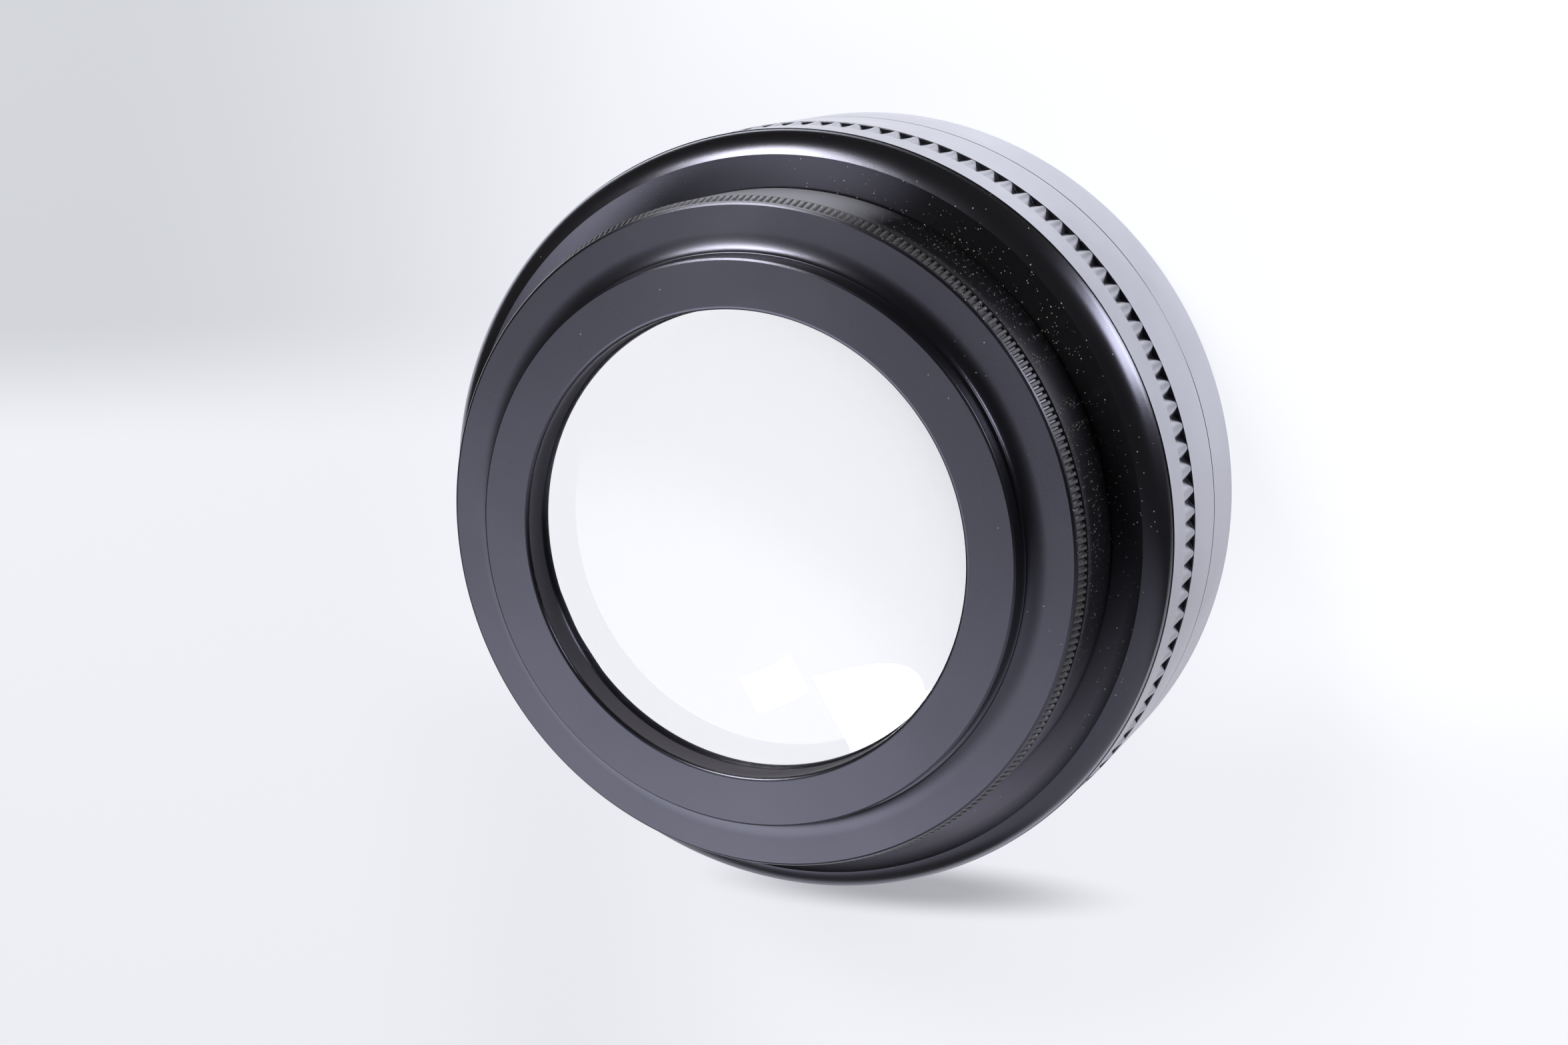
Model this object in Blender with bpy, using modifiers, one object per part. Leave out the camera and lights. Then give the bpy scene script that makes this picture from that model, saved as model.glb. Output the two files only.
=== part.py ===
"""Wide-angle conversion lens, standing on its front rim with the optical axis upright.

The lens is a stack of turned rings round two glass elements. A mount ring and a short rear cell
hold the rear element, and screw into the back of the main barrel. The barrel's long sleeve holds
the large front element and carries the grip ring, the name ring and the front rim on its outside.

Depths are measured down the axis from the rear face of the mount ring to the front rim.
Radii grow outwards from the rear element, and depths forwards from the rear face, so each piece
takes its place from the pieces that it fits. The origin is at the middle of the front rim.
"""

import math

import bmesh
import bpy
from mathutils import Matrix, Vector

MM = 0.001

# Fits, round segments and shading
FIT = 0.3 * MM
RING_SEGMENTS = 48
INNER_SEGMENTS = 32
MERGE_DISTANCE = 0.00001
SHARP_ANGLE = math.radians(28)

# Rear element, a glass lens that bulges both ways
REAR_GLASS_RADIUS = 27.0 * MM
REAR_GLASS_EDGE = 3.0 * MM
REAR_GLASS_BACK_BULGE = 1.6 * MM
REAR_GLASS_FRONT_BULGE = 6.3 * MM
GLASS_LAND_MARGIN = 0.1 * MM
GLASS_CURVE_STEPS = 6

# Mount ring: collar, cove, flange and fine-ribbed rim
BORE_LIP = 3.4 * MM
BORE_CHAMFER = 0.35 * MM
BORE_LENGTH = 3.0 * MM
BORE_STEP = 0.15 * MM
LIP_REACH = 1.2 * MM
COLLAR_WALL = 5.1 * MM
COLLAR_CHAMFER = 0.25 * MM
COLLAR_HEIGHT = 2.0 * MM
COLLAR_STEP = 0.3 * MM
COVE_WIDTH = 1.9 * MM
COVE_DEPTH = 0.8 * MM
COVE_STEPS = 4
FLANGE_LAND = 2.7 * MM
RIM_CHAMFER = 0.25 * MM
RIM_FLARE = 0.6 * MM
RIM_THICKNESS = 1.9 * MM
MOUNT_SPIGOT_WALL = 2.4 * MM
MOUNT_SPIGOT_LENGTH = 2.2 * MM

# Rear cell: neck, spigot, glass seat and light baffle
NECK_INSET = 0.1 * MM
NECK_LENGTH = 7.6 * MM
SPIGOT_STEP = 2.65 * MM
CUSHION_THICKNESS = 0.4 * MM
CUSHION_INSET = 0.3 * MM
REAR_CUSHION_WIDTH = 0.8 * MM
SEAT_LEDGE_WIDTH = 1.0 * MM
SEAT_LEDGE_THICKNESS = 1.2 * MM
CELL_WALL = 1.6 * MM
BAFFLE_WALL = 0.8 * MM
BAFFLE_RIDGE = 1.0 * MM
BAFFLE_RIDGES = 3

# Main barrel: dished rear plane, rounded shoulder and sleeve
REAR_SEAT_MARGIN = 0.15 * MM
SHOULDER_WIDTH = 4.45 * MM
SHOULDER_LENGTH = 3.05 * MM
SHOULDER_SWEEP = math.radians(61.8)
SHOULDER_STEPS = 8
SHOULDER_DROP = 1.75 * MM
SHOULDER_INSET = 0.3 * MM
BARREL_END_WALL = 3.4 * MM
FRONT_SEAT_WIDTH = 3.2 * MM
SLEEVE_WALL = 2.35 * MM
SLEEVE_MARGIN = 0.9 * MM
SLEEVE_CHAMFER = 0.3 * MM

# Front element, a deep meniscus, and the ring that holds it
FRONT_CUSHION_WIDTH = 2.2 * MM
FRONT_GLASS_LAND = 3.3 * MM
FRONT_GLASS_HOLLOW = 13.1 * MM
FRONT_GLASS_CENTRE = 4.0 * MM
FRONT_GLASS_BULGE = 5.4 * MM
FRONT_CURVE_STEPS = 6
RETAINER_WIDTH = 1.9 * MM
RETAINER_LENGTH = 2.5 * MM
SLOT_WIDTH = 1.4 * MM
SLOT_DEPTH = 1.0 * MM
SLOT_COUNT = 2

# Outer rings on the sleeve
RING_WALL = 2.3 * MM
EDGE_CHAMFER = 0.12 * MM
GRIP_INSET = 0.2 * MM
GRIP_BAND = 4.1 * MM
KNURL_LENGTH = 2.8 * MM
KNURL_SHELF = 0.1 * MM
KNURL_DEPTH = 0.58 * MM
KNURL_BACK_LAND = 1.2 * MM
KNURL_FRONT_LAND = 0.33 * MM
KNURL_TEETH = 116
NAME_BAND = 7.95 * MM

# Front rim and the trim ring inside it
RIB_THICKNESS = 0.6 * MM
RIB_HEIGHT = 1.05 * MM
TRIM_THICKNESS = 0.8 * MM
TRIM_LAND = 1.2 * MM
TRIM_LIP = 0.4 * MM
FILTER_DEPTH = 3.7 * MM
FRONT_CHAMFER = 0.35 * MM

# Radii, worked outwards from the rear element
cell_bore_radius = REAR_GLASS_RADIUS + FIT
bore_radius = cell_bore_radius - BORE_LIP
rear_aperture_radius = bore_radius - BORE_STEP
rear_cushion_radius = REAR_GLASS_RADIUS - REAR_CUSHION_WIDTH
rear_front_aperture_radius = rear_cushion_radius - GLASS_LAND_MARGIN
collar_radius = bore_radius + COLLAR_WALL
cove_radius = collar_radius + COLLAR_STEP + COVE_WIDTH
flange_radius = cove_radius + FLANGE_LAND
rim_radius = flange_radius + RIM_CHAMFER + RIM_FLARE
mount_spigot_radius = cell_bore_radius + MOUNT_SPIGOT_WALL
neck_radius = rim_radius - NECK_INSET
spigot_radius = neck_radius - SPIGOT_STEP
seat_ledge_radius = cell_bore_radius - SEAT_LEDGE_WIDTH
baffle_bore_radius = spigot_radius - CELL_WALL
barrel_bore_radius = spigot_radius + FIT
front_glass_radius = barrel_bore_radius + FRONT_SEAT_WIDTH
sleeve_bore_radius = front_glass_radius + FIT
sleeve_radius = sleeve_bore_radius + SLEEVE_WALL
ring_bore_radius = sleeve_radius + FIT
barrel_radius = ring_bore_radius + RING_WALL
grip_radius = barrel_radius - GRIP_INSET
shoulder_radius = barrel_radius - SHOULDER_INSET

# Depths, worked forwards from the rear face
flange_depth = COLLAR_HEIGHT + COVE_DEPTH
rim_back_depth = flange_depth + RIM_THICKNESS
lip_depth = BORE_LENGTH + LIP_REACH
rear_glass_depth = lip_depth + FIT
rear_glass_front = rear_glass_depth + REAR_GLASS_EDGE
rear_cushion_depth = rear_glass_front + FIT
seat_ledge_depth = rear_cushion_depth + CUSHION_THICKNESS + FIT
mount_spigot_depth = rim_back_depth + MOUNT_SPIGOT_LENGTH
neck_depth = rim_back_depth + FIT
neck_front_depth = neck_depth + NECK_LENGTH
baffle_bore_depth = seat_ledge_depth + SEAT_LEDGE_THICKNESS
barrel_back_depth = neck_front_depth + FIT
barrel_seat_depth = barrel_back_depth + BARREL_END_WALL
spigot_front_depth = barrel_seat_depth - FIT
shoulder_front_depth = barrel_back_depth + SHOULDER_DROP
front_cushion_depth = barrel_seat_depth + FIT
front_glass_depth = front_cushion_depth + CUSHION_THICKNESS + FIT
front_apex_depth = front_glass_depth + FRONT_GLASS_HOLLOW + FRONT_GLASS_CENTRE
front_glass_front = front_apex_depth - FRONT_GLASS_BULGE
retainer_front_depth = front_glass_front + FIT + RETAINER_LENGTH
sleeve_front_depth = retainer_front_depth + SLEEVE_MARGIN
grip_depth = shoulder_front_depth + FIT
knurl_depth = grip_depth + GRIP_BAND
grip_front_depth = knurl_depth + KNURL_LENGTH
name_depth = grip_front_depth + FIT
name_front_depth = name_depth + NAME_BAND
rim_depth = name_front_depth + FIT
rib_depth = sleeve_front_depth + FIT
trim_depth = rib_depth + RIB_THICKNESS + FIT
trim_front_depth = trim_depth + TRIM_THICKNESS
overall_length = trim_front_depth + FILTER_DEPTH

# Radii of the pieces round the front element
hollow_radius = front_glass_radius - FRONT_GLASS_LAND
retainer_radius = front_glass_radius - RETAINER_WIDTH
trim_radius = ring_bore_radius - FIT
rib_radius = ring_bore_radius - RIB_HEIGHT

# Colours seen in the photo: black anodised metal, clear coated glass, black rubber
ANODISED_BLACK = (0.018, 0.017, 0.020, 1.0)
ANODISED_GREY = (0.030, 0.030, 0.034, 1.0)
BAFFLE_BLACK = (0.008, 0.008, 0.009, 1.0)
RUBBER_BLACK = (0.012, 0.012, 0.012, 1.0)
GLASS_CLEAR = (0.93, 0.96, 0.98, 1.0)


def clear_scene():
    """Remove the objects of the start-up scene."""
    for item in list(bpy.data.objects):
        bpy.data.objects.remove(item, do_unlink=True)


def new_collection(name):
    """A collection of its own, linked to the scene."""
    collection = bpy.data.collections.new(name)
    bpy.context.scene.collection.children.link(collection)
    return collection


def new_material(name, colour, roughness, metallic, transmission=0.0):
    """A plain material with one Principled shader."""
    material = bpy.data.materials.new(name)
    material.use_nodes = True
    shader = material.node_tree.nodes["Principled BSDF"]
    shader.inputs["Base Color"].default_value = colour
    shader.inputs["Roughness"].default_value = roughness
    shader.inputs["Metallic"].default_value = metallic
    shader.inputs["Transmission Weight"].default_value = transmission
    material.diffuse_color = colour
    return material


def arc(centre, radius_across, radius_along, start, end, steps):
    """Points of an elliptical arc in the (radius, depth) plane, both ends included."""
    points = []
    for step in range(steps + 1):
        angle = start + (end - start) * step / steps
        across = centre[0] + radius_across * math.cos(angle)
        along = centre[1] + radius_along * math.sin(angle)
        points.append((across, along))
    return points


def sphere_radius(aperture, bulge):
    """Radius of the sphere whose cap has this aperture radius and height."""
    return (aperture ** 2 + bulge ** 2) / (2.0 * bulge)


def cap_height(aperture, bulge, radius):
    """Height of a spherical cap above its rim, at a radius from the axis."""
    curve = sphere_radius(aperture, bulge)
    return math.sqrt(curve ** 2 - radius ** 2) - (curve - bulge)


def cap_points(aperture, bulge, rim_depth_value, direction, steps):
    """Points of a spherical cap from the axis out to its rim; direction is +1 towards the front."""
    points = []
    for step in range(steps + 1):
        radius = aperture * step / steps
        depth = rim_depth_value + direction * cap_height(aperture, bulge, radius)
        points.append((radius, depth))
    return points


def finish_mesh(part):
    """Store the evaluated shape as the object's mesh, smooth on its round faces."""
    depsgraph = bpy.context.evaluated_depsgraph_get()
    mesh = bpy.data.meshes.new_from_object(part.evaluated_get(depsgraph))
    part.modifiers.clear()
    part.data = mesh
    mesh.name = part.name
    mesh.shade_smooth()
    mesh.set_sharp_from_angle(angle=SHARP_ANGLE)


def turned(name, datum, outline, material, segments, closed=True):
    """Turn an outline of (radius, depth) points about the optical axis.

    The outline runs down the outer side. The object stands at its datum depth on the axis.
    """
    mesh = bpy.data.meshes.new(name)
    shape = bmesh.new()
    points = [shape.verts.new((radius, 0.0, datum - depth)) for radius, depth in outline]
    for start, end in zip(points, points[1:]):
        shape.edges.new((start, end))
    if closed:
        shape.edges.new((points[-1], points[0]))
    shape.to_mesh(mesh)
    shape.free()
    part = bpy.data.objects.new(name, mesh)
    parts.objects.link(part)
    part.parent = axis
    part.location = (0.0, 0.0, overall_length - datum)
    part.data.materials.append(material)
    screw = part.modifiers.new("Turn", "SCREW")
    screw.steps = segments
    screw.render_steps = segments
    screw.use_merge_vertices = True
    screw.merge_threshold = MERGE_DISTANCE
    bpy.context.view_layer.update()
    return part


def cut(part, cutter):
    """Take a cutter's shape out of a part."""
    boolean = part.modifiers.new("Cut " + cutter.name, "BOOLEAN")
    boolean.operation = "DIFFERENCE"
    boolean.solver = "EXACT"
    boolean.object = cutter


def new_cutter(name, shape):
    """A cutter object from a bmesh, kept in the cutters' collection and out of renders."""
    mesh = bpy.data.meshes.new(name)
    shape.to_mesh(mesh)
    shape.free()
    cutter = bpy.data.objects.new(name, mesh)
    cutters.objects.link(cutter)
    cutter.hide_render = True
    cutter.display_type = "WIRE"
    cutter.parent = axis
    return cutter


def make_mount_ring():
    """Collar, cove, flange and flared rim, with a lip that holds the rear element."""
    collar = [
        (bore_radius + BORE_CHAMFER, 0.0),
        (collar_radius - COLLAR_CHAMFER, 0.0),
        (collar_radius, COLLAR_CHAMFER),
        (collar_radius, COLLAR_HEIGHT),
    ]
    cove_centre = (cove_radius, COLLAR_HEIGHT)
    cove = arc(cove_centre, COVE_WIDTH, COVE_DEPTH, math.pi, math.pi / 2, COVE_STEPS)
    rim = [
        (flange_radius, flange_depth),
        (flange_radius + RIM_CHAMFER, flange_depth + RIM_CHAMFER),
        (rim_radius, rim_back_depth),
        (mount_spigot_radius, rim_back_depth),
        (mount_spigot_radius, mount_spigot_depth),
    ]
    inside = [
        (cell_bore_radius, mount_spigot_depth),
        (cell_bore_radius, lip_depth),
        (rear_aperture_radius, lip_depth),
        (rear_aperture_radius, BORE_LENGTH + BORE_STEP),
        (bore_radius, BORE_LENGTH),
        (bore_radius, BORE_CHAMFER),
    ]
    outline = collar + cove + rim + inside
    part = turned("mount_ring", 0.0, outline, satin_black, RING_SEGMENTS)
    finish_mesh(part)


def make_rear_element():
    """Glass lens with flat lands, one towards the mount ring's lip and one for its cushion."""
    back = cap_points(rear_aperture_radius, REAR_GLASS_BACK_BULGE, rear_glass_depth, -1, GLASS_CURVE_STEPS)
    rim = [(REAR_GLASS_RADIUS, rear_glass_depth), (REAR_GLASS_RADIUS, rear_glass_front)]
    front = cap_points(
        rear_front_aperture_radius, REAR_GLASS_FRONT_BULGE, rear_glass_front, 1, GLASS_CURVE_STEPS)
    outline = back + rim + front[::-1]
    part = turned("rear_element", rear_glass_depth, outline, clear_glass, INNER_SEGMENTS, closed=False)
    finish_mesh(part)


def make_rear_cushion():
    """Thin rubber ring between the rear element and its ledge."""
    outer, inner = REAR_GLASS_RADIUS, rear_cushion_radius
    front = rear_cushion_depth + CUSHION_THICKNESS
    outline = [(outer, rear_cushion_depth), (outer, front), (inner, front), (inner, rear_cushion_depth)]
    part = turned("rear_cushion", rear_cushion_depth, outline, black_rubber, INNER_SEGMENTS)
    finish_mesh(part)


def make_rear_cell():
    """Neck behind the flange, stepped inside for the glass, the baffle and the barrel."""
    counterbore = mount_spigot_radius + FIT
    counterbore_depth = mount_spigot_depth + FIT
    outline = [
        (counterbore, neck_depth),
        (neck_radius, neck_depth),
        (neck_radius, neck_front_depth),
        (spigot_radius, neck_front_depth),
        (spigot_radius, spigot_front_depth),
        (baffle_bore_radius, spigot_front_depth),
        (baffle_bore_radius, baffle_bore_depth),
        (seat_ledge_radius, baffle_bore_depth),
        (seat_ledge_radius, seat_ledge_depth),
        (cell_bore_radius, seat_ledge_depth),
        (cell_bore_radius, counterbore_depth),
        (counterbore, counterbore_depth),
    ]
    part = turned("rear_cell", neck_depth, outline, satin_black, RING_SEGMENTS)
    finish_mesh(part)


def make_light_baffle():
    """Ridged black ring that traps stray light between the two elements."""
    outer = baffle_bore_radius - FIT
    root = outer - BAFFLE_WALL
    back = baffle_bore_depth + FIT
    front = spigot_front_depth - FIT
    pitch = (front - back) / BAFFLE_RIDGES
    inside = [(root, front)]
    for ridge in range(BAFFLE_RIDGES):
        depth = front - ridge * pitch
        inside.append((root - BAFFLE_RIDGE, depth - pitch / 2))
        inside.append((root, depth - pitch))
    outline = [(outer, back), (outer, front)] + inside
    part = turned("light_baffle", back, outline, baffle_black, INNER_SEGMENTS)
    finish_mesh(part)


def make_main_barrel():
    """Dished rear plane and rounded shoulder in one piece with the long sleeve.

    The dish rises from the neck to a crease, where the elliptical shoulder starts.
    """
    shoulder_centre = (shoulder_radius - SHOULDER_WIDTH, shoulder_front_depth)
    shoulder = arc(
        shoulder_centre, SHOULDER_WIDTH, SHOULDER_LENGTH, -SHOULDER_SWEEP, 0.0, SHOULDER_STEPS)
    back = [
        (barrel_bore_radius, barrel_back_depth),
        (neck_radius + REAR_SEAT_MARGIN, barrel_back_depth),
    ]
    sleeve = [
        (sleeve_radius, shoulder_front_depth),
        (sleeve_radius, sleeve_front_depth - SLEEVE_CHAMFER),
        (sleeve_radius - SLEEVE_CHAMFER, sleeve_front_depth),
        (sleeve_bore_radius, sleeve_front_depth),
        (sleeve_bore_radius, barrel_seat_depth),
        (barrel_bore_radius, barrel_seat_depth),
    ]
    part = turned("main_barrel", barrel_back_depth, back + shoulder + sleeve, satin_black, RING_SEGMENTS)
    finish_mesh(part)


def make_front_cushion():
    """Rubber ring between the barrel's seat and the front element."""
    outer = front_glass_radius - CUSHION_INSET
    inner = outer - FRONT_CUSHION_WIDTH
    front = front_cushion_depth + CUSHION_THICKNESS
    outline = [(outer, front_cushion_depth), (outer, front), (inner, front), (inner, front_cushion_depth)]
    part = turned("front_cushion", front_cushion_depth, outline, black_rubber, INNER_SEGMENTS)
    finish_mesh(part)


def make_front_element():
    """Large meniscus, hollow behind and domed in front."""
    hollow = cap_points(hollow_radius, FRONT_GLASS_HOLLOW, front_glass_depth, 1, FRONT_CURVE_STEPS)
    dome = cap_points(front_glass_radius, FRONT_GLASS_BULGE, front_glass_front, 1, FRONT_CURVE_STEPS)
    edge = [(front_glass_radius, front_glass_depth)]
    outline = hollow + edge + dome[::-1]
    part = turned("front_element", front_glass_depth, outline, clear_glass, INNER_SEGMENTS, closed=False)
    finish_mesh(part)


def make_front_retaining_ring():
    """Screwed ring that holds the front element, with slots for a spanner."""
    inner_lift = cap_height(front_glass_radius, FRONT_GLASS_BULGE, retainer_radius)
    back = front_glass_front + FIT
    outline = [
        (front_glass_radius, back),
        (front_glass_radius, retainer_front_depth),
        (retainer_radius, retainer_front_depth),
        (retainer_radius, back + inner_lift),
    ]
    part = turned("front_retaining_ring", back, outline, baffle_black, INNER_SEGMENTS)
    slots = bmesh.new()
    middle = (front_glass_radius + retainer_radius) / 2
    for index in range(SLOT_COUNT):
        turn = Matrix.Rotation(2 * math.pi * index / SLOT_COUNT, 4, "Z")
        place = Matrix.Translation((middle, 0.0, 0.0))
        size = Matrix.Diagonal((2 * RETAINER_WIDTH, SLOT_WIDTH, 2 * SLOT_DEPTH, 1.0))
        bmesh.ops.create_cube(slots, size=1.0, matrix=turn @ place @ size)
    cutter = new_cutter("spanner_slots", slots)
    cutter.location = (0.0, 0.0, overall_length - retainer_front_depth)
    cut(part, cutter)
    finish_mesh(part)


def knurl_grooves(cutter_end):
    """One cutter with a widening diamond-section groove for each gap between teeth.

    A groove is narrow and shallow where it starts, and leaves a narrow tip at the front.
    """
    pitch = 2 * math.pi * barrel_radius / KNURL_TEETH
    start = knurl_depth + KNURL_SHELF
    back_width = pitch - KNURL_BACK_LAND
    front_width = pitch - KNURL_FRONT_LAND
    growth = (front_width - back_width) / (grip_front_depth - start)
    end_width = back_width + growth * (cutter_end - start)
    end_depth = KNURL_DEPTH * end_width / front_width
    slope = GRIP_INSET / KNURL_LENGTH
    foot = Vector((grip_radius + slope * KNURL_SHELF, 0.0, overall_length - start))
    end_radius = grip_radius + slope * (cutter_end - knurl_depth)
    end = Vector((end_radius, 0.0, overall_length - cutter_end))
    run = end - foot
    lean = run.to_track_quat("-Z", "Y").to_matrix().to_4x4()
    middle = Matrix.Translation((foot + end) / 2)
    section = Matrix.Diagonal((end_depth, end_width / 2, 1.0, 1.0))
    grooves = bmesh.new()
    for tooth in range(KNURL_TEETH):
        turn = Matrix.Rotation(2 * math.pi * (tooth + 0.5) / KNURL_TEETH, 4, "Z")
        bmesh.ops.create_cone(
            grooves, cap_ends=True, segments=4, radius1=1.0, radius2=back_width / end_width,
            depth=run.length, matrix=turn @ middle @ lean @ section)
    return new_cutter("knurl_grooves", grooves)


def make_grip_ring():
    """Plain band with a row of pyramid teeth at its front, against the name ring."""
    outline = [
        (grip_radius - EDGE_CHAMFER, grip_depth),
        (grip_radius, grip_depth + EDGE_CHAMFER),
        (grip_radius, knurl_depth),
        (barrel_radius, grip_front_depth),
        (ring_bore_radius, grip_front_depth),
        (ring_bore_radius, grip_depth),
    ]
    part = turned("grip_ring", grip_depth, outline, satin_grey, KNURL_TEETH)
    cut(part, knurl_grooves(grip_front_depth + FIT))
    finish_mesh(part)


def make_name_ring():
    """Plain wide band in front of the teeth."""
    outline = [
        (barrel_radius - EDGE_CHAMFER, name_depth),
        (barrel_radius, name_depth + EDGE_CHAMFER),
        (barrel_radius, name_front_depth - EDGE_CHAMFER),
        (barrel_radius - EDGE_CHAMFER, name_front_depth),
        (ring_bore_radius, name_front_depth),
        (ring_bore_radius, name_depth),
    ]
    part = turned("name_ring", name_depth, outline, satin_grey, RING_SEGMENTS)
    finish_mesh(part)


def make_front_rim():
    """Ring at the front: socket over the sleeve, inner rib and filter recess."""
    outline = [
        (barrel_radius - EDGE_CHAMFER, rim_depth),
        (barrel_radius, rim_depth + EDGE_CHAMFER),
        (barrel_radius, overall_length - FRONT_CHAMFER),
        (barrel_radius - FRONT_CHAMFER, overall_length),
        (ring_bore_radius + FRONT_CHAMFER, overall_length),
        (ring_bore_radius, overall_length - FRONT_CHAMFER),
        (ring_bore_radius, rib_depth + RIB_THICKNESS),
        (rib_radius, rib_depth + RIB_THICKNESS),
        (rib_radius, rib_depth),
        (ring_bore_radius, rib_depth),
        (ring_bore_radius, rim_depth),
    ]
    part = turned("front_rim", rim_depth, outline, satin_grey, RING_SEGMENTS)
    finish_mesh(part)


def make_front_trim_ring():
    """Conical ring between the filter recess and the front glass, seated on the rim's rib."""
    skirt_radius = retainer_radius + FIT
    skirt_depth = retainer_front_depth + FIT
    outline = [
        (front_glass_radius, skirt_depth),
        (front_glass_radius, trim_depth),
        (trim_radius, trim_depth),
        (trim_radius, trim_front_depth),
        (trim_radius - TRIM_LAND, trim_front_depth),
        (skirt_radius, skirt_depth + TRIM_LIP),
        (skirt_radius, skirt_depth),
    ]
    part = turned("front_trim_ring", trim_depth, outline, satin_black, RING_SEGMENTS)
    finish_mesh(part)


clear_scene()
parts = new_collection("wide_angle_conversion_lens")
cutters = new_collection("cutters")
axis = bpy.data.objects.new("optical_axis", None)
parts.objects.link(axis)

satin_black = new_material("satin_black", ANODISED_BLACK, 0.38, 0.0)
satin_grey = new_material("satin_grey", ANODISED_GREY, 0.35, 0.0)
baffle_black = new_material("baffle_black", BAFFLE_BLACK, 0.7, 0.0)
black_rubber = new_material("black_rubber", RUBBER_BLACK, 0.8, 0.0)
clear_glass = new_material("clear_glass", GLASS_CLEAR, 0.02, 0.0, transmission=1.0)

make_mount_ring()
make_rear_element()
make_rear_cushion()
make_rear_cell()
make_light_baffle()
make_main_barrel()
make_front_cushion()
make_front_element()
make_front_retaining_ring()
make_grip_ring()
make_name_ring()
make_front_rim()
make_front_trim_ring()
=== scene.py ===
# %% [markdown]
# A wide-angle conversion lens, dressed with Blender
#
# The lens stands on its front rim with its optical axis upright, and the camera looks down on the
# mount end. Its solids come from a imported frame. This script gives each of them its fine shape,
# with ribs, teeth and softened edges, and its finish: black anodised metal, clear glass and a
# little dust.

import math

import bmesh
import bpy
from mathutils import Matrix, Vector


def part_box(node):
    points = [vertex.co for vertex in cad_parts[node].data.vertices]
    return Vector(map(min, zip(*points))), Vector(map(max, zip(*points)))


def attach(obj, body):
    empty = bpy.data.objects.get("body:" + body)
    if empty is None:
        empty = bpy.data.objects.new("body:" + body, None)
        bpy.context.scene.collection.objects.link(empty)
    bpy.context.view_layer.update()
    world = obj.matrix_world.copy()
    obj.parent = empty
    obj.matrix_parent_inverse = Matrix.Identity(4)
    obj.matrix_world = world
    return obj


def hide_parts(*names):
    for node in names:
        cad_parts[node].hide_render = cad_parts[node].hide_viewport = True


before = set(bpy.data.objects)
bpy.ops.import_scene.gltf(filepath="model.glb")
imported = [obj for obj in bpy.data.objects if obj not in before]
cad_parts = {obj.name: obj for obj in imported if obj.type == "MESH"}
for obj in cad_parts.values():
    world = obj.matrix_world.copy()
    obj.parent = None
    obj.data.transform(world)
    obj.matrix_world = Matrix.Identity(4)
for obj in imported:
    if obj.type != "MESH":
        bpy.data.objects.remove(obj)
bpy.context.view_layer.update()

# %% [markdown]
# Everything on this lens was turned on a lathe, so a piece is an outline of radii and depths. The
# depth is counted down from the rear face, which is the top of the frame here. The outer sizes are
# read from the frame's nodes, and the small steps between them are set here in millimetres.

# %% Sizes of the lens
MM = 0.001
FIT = 0.3 * MM
LENS_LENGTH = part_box("mount_ring")[1][2]


def up(depth):
    """Height above the floor of a plane at a depth from the rear face."""
    return LENS_LENGTH - depth


def node_radius(node):
    """Largest radius of a node."""
    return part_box(node)[1][0]


def node_back(node):
    """Depth of a node's rear end."""
    return LENS_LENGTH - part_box(node)[1][2]


def node_front(node):
    """Depth of a node's front end."""
    return LENS_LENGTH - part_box(node)[0][2]


BARREL_RADIUS = node_radius("name_ring")
RING_BORE = BARREL_RADIUS - 2.3 * MM
GLASS_RADIUS = node_radius("rear_element")
BORE_RADIUS = GLASS_RADIUS + FIT - 3.4 * MM
print("length", LENS_LENGTH, "barrel radius", BARREL_RADIUS, "bore radius", BORE_RADIUS)

# %% [markdown]
# A lathe takes one cut after another. The same can be done by hand in edit mode: a circle is
# extruded down the axis, and each new loop is scaled to its radius. The first and last loops are
# then bridged, which closes the ring. Spinning a profile would do too, but a circle keeps every
# loop whole, so that ribs and teeth can be pressed into some of its columns later.
#
# A rounded corner gets a holding loop close to each of its ends. Smooth shading then bends the
# light over the round alone, and the flat beside it stays flat.

# %% Turn a ring from a circle
HOLD = 0.03 * MM
RING_SEGMENTS = 256


def deselect_all():
    """Operators act on all that is selected, so nothing is left selected before one."""
    if bpy.context.object and bpy.context.object.mode != "OBJECT":
        bpy.ops.object.mode_set(mode="OBJECT")
    bpy.ops.object.select_all(action="DESELECT")


def edit(piece):
    """Open one piece in edit mode with nothing selected in it."""
    deselect_all()
    bpy.context.view_layer.objects.active = piece
    piece.select_set(True)
    bpy.ops.object.mode_set(mode="EDIT")
    bpy.ops.mesh.select_all(action="DESELECT")


def select_open_edges(piece):
    """Select the edges that border only one face."""
    mesh = bmesh.from_edit_mesh(piece.data)
    for edge in mesh.edges:
        edge.select_set(edge.is_boundary)
    mesh.select_flush_mode()
    bmesh.update_edit_mesh(piece.data)


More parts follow.
